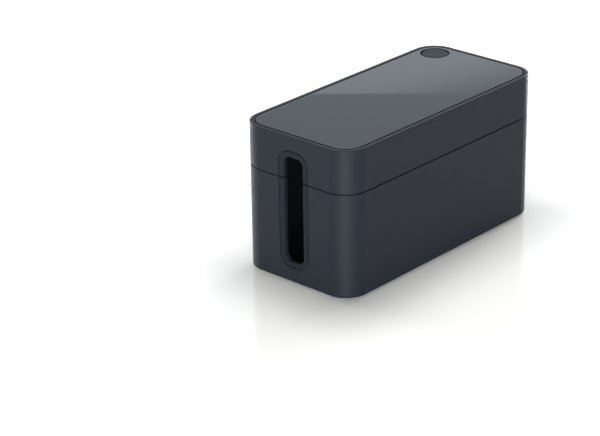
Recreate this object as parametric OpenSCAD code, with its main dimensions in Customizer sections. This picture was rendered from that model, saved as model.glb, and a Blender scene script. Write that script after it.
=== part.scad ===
// Cable management box: a rounded housing with a lift-off lid, soft-trimmed cable slots in both ends,
// an inlaid top mat and a round stopper over a cable port in one corner of the lid.
// Millimetres. X runs along the length, Y across the width, Z up. The origin is under the middle of the
// box, on the surface that the feet stand on.

/* [Box] */
// Overall length
box_l = 246; // [220:1:300]
// Overall width
box_w = 116; // [100:1:150]
// Overall height, feet included
box_h = 128; // [118:1:150]
// Outer radius of the four upright corners
corner_r = 21; // [18:0.5:24]
// Wall thickness of both mouldings
wall_t = 2.6; // [2.2:0.1:3.2]
// Thickness of the floor
floor_t = 2.6; // [2.2:0.1:3.2]
// Rounding of the bottom outer edge
bottom_edge_r = 1.6; // [0.8:0.1:2]
// Rounding where the walls meet the floor inside
inner_fillet_r = 2; // [1:0.1:3]

/* [Parting line] */
// Height of the lid, from the middle of the shadow gap to the top
lid_h = 36.8; // [32:0.2:42]
// Width of the shadow gap
parting_gap = 0.8; // [0.5:0.1:1.2]
// How far the housing's locating lip stands above its rim
lip_h = 4; // [3:0.5:6]
// Thickness of the locating lip
lip_t = 1.2; // [1:0.1:1.3]
// Clearance between the lip and the lid's skirt
lip_clearance = 0.2; // [0.1:0.05:0.3]
// Rounding of the rim and skirt edges at the gap
rim_edge_r = 0.4; // [0.2:0.1:0.6]

/* [Lid] */
// Thickness of the lid's top plate
plate_t = 2.4; // [2:0.1:3]
// Width of the rim round the top mat
rim_w = 3.4; // [3:0.1:4.2]
// Rounding of the lid's top outer edge
top_edge_r = 0.8; // [0.4:0.1:1.2]
// Depth of the pocket that takes the mat
pocket_depth = 1.8; // [1.6:0.1:2.2]

/* [Top mat] */
// Width of the groove between rim and mat
mat_groove_w = 0.8; // [0.5:0.1:1.2]
// Thickness of the adhesive sheet under the mat
adhesive_t = 0.3; // [0.2:0.05:0.4]
// How far the adhesive sheet stays inside the mat's edge
adhesive_inset = 2; // [1:0.5:4]
// Rounding of the mat's top edge
mat_edge_r = 0.3; // [0.2:0.1:0.5]

/* [Cable slots] */
// Outer width of a slot's trim
trim_w = 29.6; // [26:0.2:32]
// Distance from the lid's top down to the trim's highest outer edge
trim_top_inset = 12.9; // [11:0.1:16]
// Distance from the surface the box stands on up to the trim's lowest outer edge
trim_bottom_inset = 14.8; // [12:0.1:16]
// Outer corner radius of the trim
trim_r = 10.8; // [10:0.1:12]
// Width of the trim's visible face
trim_face_w = 4.8; // [4.2:0.1:5.2]
// Depth of the trim from the end face inwards
trim_depth = 4.2; // [3.8:0.1:5]
// Thickness of the trim's face flange
flange_t = 1.2; // [1:0.1:1.3]
// Thickness of the trim's collar through the wall
collar_t = 2; // [1.6:0.1:2.2]
// How far the trim's inner flange grips behind the wall, past the collar
grip_w = 1.8; // [1.2:0.1:2.4]
// Rounding of the trim's edge at the opening
trim_edge_r = 0.8; // [0.4:0.1:1]
// Gap round the trim's face
trim_seam = 0.4; // [0.3:0.05:0.6]
// Clearance between the trim and the wall that it grips
trim_clearance = 0.15; // [0.1:0.05:0.2]

/* [Cable port] */
// Distance from the lid's end to the hole in the mat
port_end_inset = 8; // [7:0.1:14]
// Distance from the lid's side to the hole in the mat
port_side_inset = 8; // [7:0.1:14]
// Diameter of the hole in the mat
port_recess_d = 25; // [24:0.1:26]
// Width of the ring that the stopper sits on, round the passage
port_seat_w = 2.75; // [2.2:0.05:3.5]
// Depth of the stopper's seat below the pocket floor
port_seat_depth = 2.4; // [1.8:0.1:3]
// Wall of the boss round and under the stopper's seat
port_boss_t = 2; // [1.6:0.1:2.4]
// Height of the guide collar under the boss
port_collar_h = 4; // [3:0.5:6]
// Wall of the guide collar
port_collar_t = 2.2; // [1.8:0.1:2.6]

/* [Stopper] */
// Width of the moat round the stopper's top
stopper_moat_w = 1.3; // [1:0.1:2]
// Clearance of the stopper's seating flange in its recess
flange_clearance = 0.3; // [0.2:0.05:0.5]
// Thickness of the stopper's top
stopper_top_t = 2; // [1.6:0.1:2.6]
// Thickness of the seating flange
stopper_flange_t = 1; // [0.8:0.1:1.2]
// Rounding of the stopper's top edge
stopper_edge_r = 0.5; // [0.3:0.1:0.8]
// Clearance of the stopper's skirt in the bore
skirt_clearance = 0.25; // [0.2:0.05:0.4]
// Clearance of the skirt's sealing rings in the bore
ring_clearance = 0.06; // [0.04:0.01:0.08]
// Wall of the stopper's skirt
skirt_t = 1.8; // [1.4:0.1:2.2]
// Length of the skirt below the seat
skirt_h = 5.4; // [4.6:0.2:6]
// Height of one sealing ring
ring_h = 0.9; // [0.6:0.1:1.2]
// Spacing of the sealing rings
ring_pitch = 2; // [1.8:0.1:2.4]
// Number of sealing rings
ring_count = 2; // [1:1:2]

/* [Feet] */
// Diameter of a foot
foot_d = 12; // [10:0.5:14]
// How far a foot stands below the housing
foot_h = 1.5; // [1.2:0.1:2.5]
// Depth of a foot's recess in the floor
foot_recess = 1; // [0.8:0.1:1.2]
// Distance of a foot's centre from the end
foot_end_inset = 21; // [18:0.5:30]
// Distance of a foot's centre from the side
foot_side_inset = 21; // [18:0.5:30]
// Rounding of a foot's lower edge
foot_edge_r = 0.6; // [0.3:0.1:0.9]
// Gap round a foot in its recess
foot_clearance = 0.2; // [0.15:0.05:0.3]
// Thickness of the adhesive disc over a foot
foot_adhesive_t = 0.15; // [0.1:0.05:0.2]
// How far the adhesive disc stays inside the foot's edge
foot_adhesive_inset = 0.5; // [0.3:0.1:1]

/* [Hidden] */
$fn = 96;
// Overrun of every cutting shape past the face that it cuts
overrun = 1;
// Length that reaches past the whole box in any direction
beyond = box_l + box_w + box_h;

// Heights of the housing
parting_z = box_h - lid_h;
base_bottom = foot_h;
base_rim = parting_z - parting_gap / 2;
floor_top = base_bottom + floor_t;
lip_top = base_rim + lip_h;

// Heights of the lid
skirt_bottom = parting_z + parting_gap / 2;
pocket_floor = box_h - pocket_depth;
plate_bottom = pocket_floor - plate_t;
seat_z = pocket_floor - port_seat_depth;
boss_bottom = seat_z - port_boss_t;
collar_bottom = boss_bottom - port_collar_h;

// Radii of the swept wall, counted outwards from the upright corner axes
inner_r = corner_r - wall_t;
lip_outer_r = inner_r + lip_t;
skirt_inner_r = lip_outer_r + lip_clearance;
rim_inner_r = corner_r - rim_w;
mat_r = rim_inner_r - mat_groove_w;

// The mat and the sheet that holds it
mat_l = box_l - 2 * (rim_w + mat_groove_w);
mat_w = box_w - 2 * (rim_w + mat_groove_w);
mat_bottom = pocket_floor + adhesive_t;

// Slot trim, counted outwards from its own corner axes
trim_h = box_h - trim_top_inset - trim_bottom_inset;
slot_mid_z = trim_bottom_inset + trim_h / 2;
opening_r = trim_r - trim_face_w;
collar_outer_r = opening_r + collar_t;
grip_outer_r = collar_outer_r + grip_w;
seat_r = trim_r + trim_seam;
wall_cut_r = collar_outer_r + trim_clearance;
seat_depth = flange_t + trim_clearance;

// Port, stopper and feet
port_x = box_l / 2 - port_end_inset - port_recess_d / 2;
port_y = box_w / 2 - port_side_inset - port_recess_d / 2;
port_bore_d = port_recess_d - 2 * port_seat_w;
stopper_d = port_recess_d - 2 * stopper_moat_w;
stopper_flange_d = port_recess_d - 2 * flange_clearance;
skirt_r = port_bore_d / 2 - skirt_clearance;
ring_r = port_bore_d / 2 - ring_clearance;
skirt_bottom_z = seat_z - skirt_h;
foot_x = box_l / 2 - foot_end_inset;
foot_y = box_w / 2 - foot_side_inset;
foot_top = base_bottom + foot_recess - foot_adhesive_t;

LEFT = -1;
RIGHT = 1;
FRONT = -1;
REAR = 1;

// The corner that a round edge of radius r takes off, for a corner at the origin whose solid lies in
// the quarter x < 0, y < 0
module edge_waste(r) {
    difference() {
        translate([-r, -r]) square(r + overrun);
        translate([-r, -r]) circle(r);
    }
}

// A flat rectangle with round corners, centred
module round_rect(l, w, r) {
    square([l - 2 * r, w], center = true);
    square([l, w - 2 * r], center = true);
    for (x = [-1, 1], y = [-1, 1])
        translate([x * (l / 2 - r), y * (w / 2 - r)]) circle(r);
}

module round_plate(l, w, r, from_z, to_z) {
    translate([0, 0, from_z]) linear_extrude(to_z - from_z) round_rect(l, w, r);
}

// Sweeps a profile round a rectangle with round corners. In the profile, x is the distance outwards
// from the corner axes and y is the height
module sweep_round_rect(l, w, r) {
    for (k = [0:3]) {
        along = k % 2 == 0 ? l : w;
        across = k % 2 == 0 ? w : l;
        rotate(90 * k) translate([along / 2 - r, across / 2 - r, 0]) {
            rotate_extrude(angle = 90) children();
            rotate([90, 0, 0]) linear_extrude(across - 2 * r) children();
        }
    }
}

// Puts a shape drawn flat, with +Z outwards and +Y up, on the box's left or right end face
module on_end(side) {
    translate([side * box_l / 2, 0, slot_mid_z]) rotate([90, 0, side * 90]) children();
}

// Everything above or below a height
module above(z) {
    translate([-beyond / 2, -beyond / 2, z]) cube(beyond);
}

module below(z) {
    translate([-beyond / 2, -beyond / 2, z - beyond]) cube(beyond);
}

// The stepped seat of a slot trim: a shallow recess for its face and a way through for its collar
module slot_cut(side) {
    seat_grow = 2 * (seat_r - trim_r);
    through_shrink = 2 * (trim_r - wall_cut_r);
    on_end(side) {
        translate([0, 0, -seat_depth]) linear_extrude(seat_depth + overrun)
            round_rect(trim_w + seat_grow, trim_h + seat_grow, seat_r);
        translate([0, 0, -wall_t - overrun]) linear_extrude(wall_t + 2 * overrun)
            round_rect(trim_w - through_shrink, trim_h - through_shrink, wall_cut_r);
    }
}

// Cross-section of the soft trim: a channel whose face, collar and inner flange grip the wall's edge
module trim_profile() {
    difference() {
        union() {
            translate([opening_r, -flange_t]) square([trim_face_w, flange_t]);
            translate([opening_r, -trim_depth]) square([collar_t, trim_depth]);
            translate([opening_r, -trim_depth])
                square([grip_outer_r - opening_r, trim_depth - wall_t - trim_clearance]);
        }
        translate([opening_r, 0]) mirror([1, 0]) edge_waste(trim_edge_r);
    }
}

module trim_ring(side) {
    on_end(side) sweep_round_rect(trim_w, trim_h, trim_r) trim_profile();
}

module trim_lower(side) {
    color("#2c3138") intersection() {
        trim_ring(side);
        below(base_rim);
    }
}

module trim_upper(side) {
    color("#2c3138") intersection() {
        trim_ring(side);
        above(skirt_bottom);
    }
}

// The housing's wall with its round bottom edge, rim and locating lip
module base_wall_profile() {
    difference() {
        union() {
            translate([inner_r, base_bottom]) square([wall_t, base_rim - base_bottom]);
            translate([inner_r, base_bottom]) square([lip_t, lip_top - base_bottom]);
            translate([inner_r - inner_fillet_r, base_bottom])
                square([inner_fillet_r, floor_t + inner_fillet_r]);
        }
        translate([corner_r, base_rim]) edge_waste(rim_edge_r);
        translate([corner_r, base_bottom]) mirror([0, 1]) edge_waste(bottom_edge_r);
        translate([inner_r - inner_fillet_r, floor_top + inner_fillet_r]) circle(inner_fillet_r);
    }
}

module base_shell() {
    core_inset = 2 * (wall_t + inner_fillet_r);
    color("#3a3e45") difference() {
        union() {
            sweep_round_rect(box_l, box_w, corner_r) base_wall_profile();
            round_plate(box_l - core_inset, box_w - core_inset, corner_r - core_inset / 2,
                base_bottom, floor_top);
        }
        for (side = [LEFT, RIGHT]) slot_cut(side);
        for (x = [-1, 1], y = [-1, 1])
            translate([x * foot_x, y * foot_y, base_bottom - overrun])
                cylinder(h = foot_recess + overrun, d = foot_d + 2 * foot_clearance);
    }
}

// The lid's wall: a thin skirt over the housing's lip, then the full wall, then the rim round the mat
module lid_wall_profile() {
    difference() {
        union() {
            translate([skirt_inner_r, skirt_bottom]) square([corner_r - skirt_inner_r, box_h - skirt_bottom]);
            translate([inner_r, lip_top]) square([wall_t, box_h - lip_top]);
            translate([rim_inner_r, plate_bottom]) square([rim_w, box_h - plate_bottom]);
            translate([inner_r - inner_fillet_r, plate_bottom - inner_fillet_r])
                square([inner_fillet_r, pocket_floor - plate_bottom + inner_fillet_r]);
        }
        translate([corner_r, box_h]) edge_waste(top_edge_r);
        translate([corner_r, skirt_bottom]) mirror([0, 1]) edge_waste(rim_edge_r);
        translate([inner_r - inner_fillet_r, plate_bottom - inner_fillet_r]) circle(inner_fillet_r);
    }
}

module lid_shell() {
    core_inset = 2 * (wall_t + inner_fillet_r);
    color("#3a3e45") difference() {
        union() {
            sweep_round_rect(box_l, box_w, corner_r) lid_wall_profile();
            round_plate(box_l - core_inset, box_w - core_inset, corner_r - core_inset / 2,
                plate_bottom, pocket_floor);
            translate([port_x, port_y, boss_bottom])
                cylinder(h = pocket_floor - boss_bottom, d = port_recess_d + 2 * port_boss_t);
            translate([port_x, port_y, collar_bottom])
                cylinder(h = pocket_floor - collar_bottom, d = port_bore_d + 2 * port_collar_t);
        }
        for (side = [LEFT, RIGHT]) slot_cut(side);
        translate([port_x, port_y, seat_z]) cylinder(h = port_seat_depth + overrun, d = port_recess_d);
        translate([port_x, port_y, collar_bottom - overrun])
            cylinder(h = pocket_floor - collar_bottom + 2 * overrun, d = port_bore_d);
    }
}

module mat_adhesive() {
    color("#8a8d90") difference() {
        round_plate(mat_l - 2 * adhesive_inset, mat_w - 2 * adhesive_inset, mat_r - adhesive_inset,
            pocket_floor, mat_bottom);
        translate([port_x, port_y, pocket_floor - overrun])
            cylinder(h = adhesive_t + 2 * overrun, d = port_recess_d + adhesive_inset);
    }
}

// The mat's edge, which is rounded at the top
module mat_edge_profile() {
    difference() {
        translate([0, mat_bottom]) square([mat_r, box_h - mat_bottom]);
        translate([mat_r, box_h]) edge_waste(mat_edge_r);
    }
}

module top_mat() {
    core_inset = 2 * mat_r;
    color("#5d6168") difference() {
        union() {
            sweep_round_rect(mat_l, mat_w, mat_r) mat_edge_profile();
            translate([core_inset / 2 - mat_l / 2, core_inset / 2 - mat_w / 2, mat_bottom])
                cube([mat_l - core_inset, mat_w - core_inset, box_h - mat_bottom]);
        }
        translate([port_x, port_y, mat_bottom - overrun])
            cylinder(h = box_h - mat_bottom + 2 * overrun, d = port_recess_d);
    }
}

// Half section of the stopper: top disc, seating flange, hollow skirt and sealing rings
module stopper_profile() {
    difference() {
        union() {
            translate([0, seat_z]) square([stopper_d / 2, box_h - seat_z]);
            translate([0, seat_z]) square([stopper_flange_d / 2, stopper_flange_t]);
            translate([0, skirt_bottom_z]) square([skirt_r, skirt_h]);
            for (k = [0:ring_count - 1])
                translate([0, skirt_bottom_z + ring_h + k * ring_pitch]) square([ring_r, ring_h]);
        }
        translate([stopper_d / 2, box_h]) edge_waste(stopper_edge_r);
        translate([0, skirt_bottom_z - overrun])
            square([skirt_r - skirt_t, box_h - stopper_top_t - skirt_bottom_z + overrun]);
    }
}

module port_stopper() {
    color("#4c535b") translate([port_x, port_y, 0]) rotate_extrude() stopper_profile();
}

module foot_profile() {
    difference() {
        square([foot_d / 2, foot_top]);
        translate([foot_d / 2, 0]) mirror([0, 1]) edge_waste(foot_edge_r);
    }
}

module foot(end, side) {
    color("#1c1e21") translate([end * foot_x, side * foot_y, 0]) rotate_extrude() foot_profile();
}

module foot_adhesives() {
    color("#8a8d90") for (x = [-1, 1], y = [-1, 1])
        translate([x * foot_x, y * foot_y, foot_top])
            cylinder(h = foot_adhesive_t, d = foot_d - 2 * foot_adhesive_inset);
}

base_shell();
trim_lower(LEFT);  // left_trim_lower
trim_lower(RIGHT);  // right_trim_lower
foot(LEFT, FRONT);  // foot_front_left
foot(RIGHT, FRONT);  // foot_front_right
foot(LEFT, REAR);  // foot_rear_left
foot(RIGHT, REAR);  // foot_rear_right
foot_adhesives();
lid_shell();
trim_upper(LEFT);  // left_trim_upper
trim_upper(RIGHT);  // right_trim_upper
mat_adhesive();
top_mat();
port_stopper();
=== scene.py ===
import math
from contextlib import contextmanager

import bmesh
import bpy
from bpy.props import FloatProperty, FloatVectorProperty, IntProperty, PointerProperty
from mathutils import Matrix, Quaternion, Vector


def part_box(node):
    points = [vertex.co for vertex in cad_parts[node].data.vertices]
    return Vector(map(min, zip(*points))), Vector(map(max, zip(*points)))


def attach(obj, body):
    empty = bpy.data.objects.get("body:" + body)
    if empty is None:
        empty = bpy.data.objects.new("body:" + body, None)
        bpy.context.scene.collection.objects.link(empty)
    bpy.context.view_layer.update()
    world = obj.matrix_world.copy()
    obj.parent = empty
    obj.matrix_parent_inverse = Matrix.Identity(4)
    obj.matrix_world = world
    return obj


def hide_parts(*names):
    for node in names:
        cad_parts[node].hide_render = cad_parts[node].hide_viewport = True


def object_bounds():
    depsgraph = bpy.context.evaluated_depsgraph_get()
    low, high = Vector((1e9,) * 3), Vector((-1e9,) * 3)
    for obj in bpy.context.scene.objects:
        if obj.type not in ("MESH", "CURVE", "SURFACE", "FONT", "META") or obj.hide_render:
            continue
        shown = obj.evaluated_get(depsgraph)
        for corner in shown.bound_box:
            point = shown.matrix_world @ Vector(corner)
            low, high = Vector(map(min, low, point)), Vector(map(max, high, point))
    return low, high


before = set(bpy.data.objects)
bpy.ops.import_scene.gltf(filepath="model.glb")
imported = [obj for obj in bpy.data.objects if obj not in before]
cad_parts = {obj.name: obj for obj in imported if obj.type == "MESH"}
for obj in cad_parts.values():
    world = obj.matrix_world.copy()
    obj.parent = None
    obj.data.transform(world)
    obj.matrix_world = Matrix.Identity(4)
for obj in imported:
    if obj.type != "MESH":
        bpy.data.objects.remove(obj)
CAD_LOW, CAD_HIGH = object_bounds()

bl_info = {
    "name": "Cable Management Box",
    "version": (1, 0, 0),
    "blender": (4, 5, 0),
    "location": "3D View > Sidebar > Cable Box",
    "description": "Builds the finished pieces of a cable management box round its packed CAD frame",
    "category": "Object",
}

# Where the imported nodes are, in metres. Heights and outlines that the pieces share come from here.
BASE_LOW, BASE_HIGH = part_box("base_shell")
LID_LOW, LID_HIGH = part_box("lid_shell")
MAT_LOW, MAT_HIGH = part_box("top_mat")
TRIM_LOWER_LOW, TRIM_LOWER_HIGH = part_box("left_trim_lower")
TRIM_UPPER_LOW, TRIM_UPPER_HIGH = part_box("left_trim_upper")
STOPPER_LOW, STOPPER_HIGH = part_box("port_stopper")
FOOT_LOW, FOOT_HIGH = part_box("foot_front_left")
POCKET_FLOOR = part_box("mat_adhesive")[0].z
BOX_OUTLINE = (BASE_HIGH.x - BASE_LOW.x, BASE_HIGH.y - BASE_LOW.y)
TRIM_OUTLINE = (TRIM_LOWER_HIGH.y - TRIM_LOWER_LOW.y, TRIM_UPPER_HIGH.z - TRIM_LOWER_LOW.z)
FOOT_RADIUS = (FOOT_HIGH.x - FOOT_LOW.x) / 2

# Points closer than this are one point
WELD = 1e-6
# How far a cutting shape reaches past the face that it cuts
OVERRUN = 0.001
# Edges that turn by more than this stay crisp when a piece is shaded smooth
CRISP_ANGLE = math.radians(32)
# Directions of the points on the round edge of a sealing ring
RING_ANGLES = [math.radians(angle) for angle in (60, 25, -25, -60)]
# Radius of the ring in a foot's lower face, as a share of the foot's own
FOOT_RING = 0.55
# The floor lies this far below the feet, so that the two don't share a height
FLOOR_DROP = 0.00002

# How far the surface of a sheet faces up where its cut edge ends and where its face begins; the painted
# shade on the mat's cut edge fades out over this range
CUT_EDGE = (0.90, 0.997)
# Directions of the adhesive's fibres, and how often they vary along, across and through the sheet
FIBRE_ANGLES = (0.35, -0.8)
FIBRE_STRETCH = (140.0, 2600.0, 900.0)
# Distances from the box's outline over which the floor's two painted glows set in. This emission is painted
# light, which leaves a painted shadow close round the box
NEAR_PAINTED_GLOW_REACH = (-0.015, 0.080)
FAR_PAINTED_GLOW_REACH = (0.15, 1.2)
# The lit wall behind the box: blur of its top edge, the direction and range of its fade towards one
# side, and how it brightens with height
WALL_EDGE_BLUR = 0.0006
WALL_FADE_AXIS = (0.1391, 0.4358, -0.8893)
WALL_FADE = (0.0330, 0.0556)
WALL_RISE = (0.29, 0.335, 0.85, 1.03)
# The bright upper part of the room: its direction, and the ranges of its fades to the sides and upwards
BEHIND_AXIS = (0.7400, 0.6726, 0.0)
BEHIND_FADE = (0.1, 0.7)
CEILING_FADE = (0.5, 0.85)
WHITE = (1.0, 1.0, 1.0, 1.0)


# ---- What a user would change ----

def length_prop(name, description, default, low, high):
    return FloatProperty(name=name, description=description, default=default, min=low, max=high,
                         unit="LENGTH", precision=5)


def share_prop(name, description, default):
    return FloatProperty(name=name, description=description, default=default, min=0.0, max=1.0,
                         subtype="FACTOR")


def colour_prop(name, description, default, high=1.0):
    return FloatVectorProperty(name=name, description=description, default=default, min=0.0, max=high,
                               subtype="COLOR")


def angle_prop(name, description, degrees):
    return FloatProperty(name=name, description=description, default=math.radians(degrees),
                         subtype="ANGLE")


def light_prop(name, description, default, unit="NONE"):
    return FloatProperty(name=name, description=description, default=default, min=0.0, unit=unit)


class CableBoxShape(bpy.types.PropertyGroup):
    """Sizes of the mouldings and soft parts. The outer sizes come from the CAD frame."""

    corner_radius: length_prop(
        "Corner Radius", "Outer radius of the four upright corners", 0.021, 0.005, 0.05)
    corner_steps: IntProperty(
        name="Corner Steps", description="Points in each round corner of a swept section",
        default=26, min=6, max=64)
    wall: length_prop("Wall", "Wall thickness of both mouldings", 0.0026, 0.001, 0.006)
    floor: length_prop("Floor", "Thickness of the housing's floor", 0.0026, 0.001, 0.006)
    plate: length_prop("Lid Plate", "Thickness of the lid's top plate under the mat", 0.0024, 0.001, 0.006)
    bottom_edge: length_prop(
        "Bottom Edge", "Rounding of the housing's bottom outer edge", 0.0016, 0.0002, 0.004)
    top_edge: length_prop("Top Edge", "Rounding of the lid's top outer edge", 0.0006, 0.0002, 0.003)
    gap_edge: length_prop(
        "Gap Edge", "Rounding of the two edges at the parting line", 0.0004, 0.0001, 0.001)
    gap_relief: length_prop(
        "Gap Relief", "How far each of these two edges stays back from the other", 0.0002, 0.0, 0.0003)
    small_edge: length_prop("Small Edge", "Rounding of the small moulded edges", 0.0002, 0.00005, 0.0005)
    inner_fillet: length_prop(
        "Inner Fillet", "Rounding where walls meet the floor or the lid's plate inside",
        0.002, 0.0005, 0.005)
    rim_width: length_prop("Rim Width", "Width of the lid's rim round the mat", 0.0034, 0.002, 0.006)
    lip: length_prop("Lip", "Thickness of the housing's locating lip", 0.0012, 0.0005, 0.002)
    lip_clearance: length_prop(
        "Lip Clearance", "Clearance between the lip and the lid's skirt", 0.0002, 0.0001, 0.0005)
    mat_edge: length_prop("Mat Edge", "Rounding of the mat's top edges", 0.0003, 0.0001, 0.0006)
    mat_shrink: length_prop(
        "Mat Shrink", "How much less than its pattern the mat reaches on each side", 0.0004, 0.0, 0.0005)
    trim_radius: length_prop("Trim Radius", "Outer corner radius of a slot trim", 0.0108, 0.006, 0.014)
    trim_face: length_prop("Trim Face", "Width of a slot trim's visible face", 0.0048, 0.003, 0.007)
    trim_flange: length_prop(
        "Trim Flange", "Thickness of a slot trim's face flange", 0.0012, 0.0008, 0.0016)
    trim_collar: length_prop(
        "Trim Collar", "Thickness of a slot trim's collar through the wall", 0.002, 0.001, 0.003)
    trim_grip: length_prop(
        "Trim Grip", "How far a slot trim grips behind the wall, past its collar", 0.0018, 0.001, 0.003)
    trim_edge: length_prop(
        "Trim Edge", "Rounding of a slot trim's edge at the opening", 0.0008, 0.0002, 0.0012)
    trim_seam: length_prop("Trim Seam", "Gap round a slot trim's face", 0.0008, 0.0002, 0.001)
    trim_clearance: length_prop(
        "Trim Clearance", "Clearance between a slot trim and the wall that it grips",
        0.00015, 0.00005, 0.0003)
    port_recess: length_prop(
        "Port Recess", "Diameter of the hole in the mat and of the stopper's recess", 0.025, 0.02, 0.03)
    port_bore: length_prop("Port Bore", "Diameter of the cable port", 0.0195, 0.012, 0.024)
    port_seat: length_prop(
        "Port Seat", "Depth of the stopper's seat below the pocket floor", 0.0024, 0.001, 0.003)
    port_boss: length_prop(
        "Port Boss", "Wall of the boss round and under the stopper's seat", 0.002, 0.001, 0.003)
    port_collar: length_prop(
        "Port Collar", "Height of the guide collar under the boss", 0.004, 0.001, 0.008)
    port_collar_wall: length_prop("Port Collar Wall", "Wall of the guide collar", 0.0022, 0.001, 0.003)
    stopper_moat: length_prop(
        "Stopper Moat", "Width of the moat round the stopper's top", 0.0013, 0.0005, 0.003)
    stopper_top: length_prop("Stopper Top", "Thickness of the stopper's top", 0.002, 0.001, 0.003)
    stopper_flange: length_prop(
        "Stopper Flange", "Thickness of the stopper's seating flange", 0.001, 0.0005, 0.002)
    stopper_edge: length_prop(
        "Stopper Edge", "Rounding of the stopper's top edge", 0.0005, 0.0002, 0.001)
    stopper_wall: length_prop("Stopper Wall", "Wall of the stopper's hollow skirt", 0.0018, 0.001, 0.003)
    stopper_slack: length_prop(
        "Stopper Slack", "Clearance of the stopper's skirt in the bore", 0.00025, 0.0001, 0.0005)
    ring_slack: length_prop(
        "Ring Slack", "Clearance of the stopper's sealing rings in the bore", 0.00006, 0.00002, 0.0002)
    ring_height: length_prop("Ring Height", "Height of one sealing ring", 0.0009, 0.0004, 0.002)
    ring_pitch: length_prop("Ring Pitch", "Spacing of the sealing rings", 0.002, 0.001, 0.004)
    foot_recess: length_prop("Foot Recess", "Depth of a foot's recess in the floor", 0.001, 0.0005, 0.002)
    foot_slack: length_prop("Foot Slack", "Gap round a foot in its recess", 0.0002, 0.0001, 0.0005)
    foot_edge: length_prop("Foot Edge", "Rounding of a foot's lower edge", 0.0006, 0.0002, 0.0012)


class CableBoxFinish(bpy.types.PropertyGroup):
    """Colours and gloss of the materials."""

    shell_colour: colour_prop(
        "Shell", "Graphite plastic of the housing and the lid", (0.0080, 0.0120, 0.0184))
    shell_roughness: share_prop("Shell Roughness", "How satin the moulded plastic is", 0.54)
    shell_sheen: share_prop(
        "Shell Sheen", "How much the plastic brightens where it is seen edge-on", 0.065)
    # Painted shade: the share of the shell's colour left on the inner faces, darkened to stand in for the
    # shade inside the box
    inside_painted_shade: share_prop(
        "Inside Shade", "Tone of the mouldings' inner faces against the outer ones", 0.35)
    inside_roughness: share_prop("Inside Roughness", "How matt the mouldings' inner faces are", 0.8)
    mat_colour: colour_prop("Mat", "Smooth soft mat in the lid", (0.094, 0.113, 0.1335))
    mat_roughness: share_prop(
        "Mat Roughness", "Low, because the mat mirrors the room's edge sharply", 0.01)
    trim_colour: colour_prop("Trim", "Soft trims of the cable slots", (0.0090, 0.0132, 0.0187))
    stopper_colour: colour_prop("Stopper", "Soft stopper of the cable port", (0.030, 0.040, 0.054))
    foot_colour: colour_prop("Foot", "Soft feet under the housing", (0.012, 0.013, 0.015))
    rubber_roughness: share_prop(
        "Rubber Roughness", "Gloss of the trims, the stopper and the feet", 0.55)
    adhesive_colour: colour_prop(
        "Adhesive", "Fibrous adhesive sheet under the mat and over the feet", (0.25, 0.265, 0.28))
    dust_colour: colour_prop("Dust", "Fine dust on surfaces that face up", (0.42, 0.42, 0.41))


class CableBoxStudio(bpy.types.PropertyGroup):
    """Camera, floor and lights."""

    camera_place: FloatVectorProperty(
        name="Camera Place", description="Where the camera stands",
        default=(-1.275977, -1.054775, 0.752140), subtype="XYZ", unit="LENGTH", precision=5)
    camera_azimuth: angle_prop(
        "Camera Azimuth", "Side that the camera looks from, counted from -Y towards +X", -47.7308)
    camera_elevation: angle_prop("Camera Elevation", "How steeply the camera looks down", 23.9212)
    camera_roll: angle_prop("Camera Roll", "Turn of the camera about its own axis", -0.8870)
    camera_lens: FloatProperty(
        name="Camera Lens", description="Focal length on a 36 mm sensor",
        default=128.677, min=10.0, max=400.0, unit="CAMERA")
    floor_colour: colour_prop("Floor", "Pale studio floor, a little warm", (0.89, 0.89, 0.855))
    floor_roughness: share_prop(
        "Floor Roughness", "Blur of the floor's own shine, under its clear coat", 0.14)
    floor_size: length_prop("Floor Size", "Side of the square floor", 16.0, 4.0, 40.0)
    # The floor's glows are painted light: emission that is 0 at the box and rises away from it, which
    # leaves a painted shadow round the box; the lit sweep named below is this painted light
    near_painted_glow: light_prop("Near Glow", "Light that the lit sweep gives off beside the box", 0.36)
    far_painted_glow: light_prop("Far Glow", "Further light that it gives off well away from the box", 0.65)
    room_light: light_prop("Room Light", "Brightness of the room on all sides", 0.02)
    room_tint: colour_prop("Room Tint", "Cool tint of the light from the room", (0.956, 1.0, 1.08), 2.0)
    ceiling_light: light_prop(
        "Ceiling Light", "Brightness of the upper part of the room behind the box", 0.60)
    wall_light: light_prop(
        "Wall Light", "Added brightness of the wall low behind the box, which the mat mirrors", 0.69)
    wall_top: angle_prop("Wall Top", "Height above the horizon where the lit wall ends", 20.62)
    key_power: light_prop("Key", "Low soft light in front of the upright corner", 56.0, "POWER")
    top_power: light_prop("Top", "Soft light over the box", 8.2, "POWER")
    right_power: light_prop("Right", "Soft light over the right end", 9.0, "POWER")
    rear_edge_power: light_prop(
        "Rear Edge", "Small low light behind the box, which edges the left corner", 32.0, "POWER")
    right_edge_power: light_prop(
        "Right Edge", "Small low light beside the box, which edges the right corner", 40.0, "POWER")


# ---- Sections: lists of (inset from the outline, height), in metres ----

def corner(inset, height, radius, start, end, steps=3):
    """Rounds a right-angled corner at (inset, height), from one direction to another in degrees."""
    middle = math.radians((start + end) / 2)
    inset -= math.copysign(radius, math.cos(middle))
    height -= math.copysign(radius, math.sin(middle))
    angles = [math.radians(start + (end - start) * k / steps) for k in range(steps + 1)]
    return [(inset + radius * math.cos(a), height + radius * math.sin(a)) for a in angles]


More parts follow.
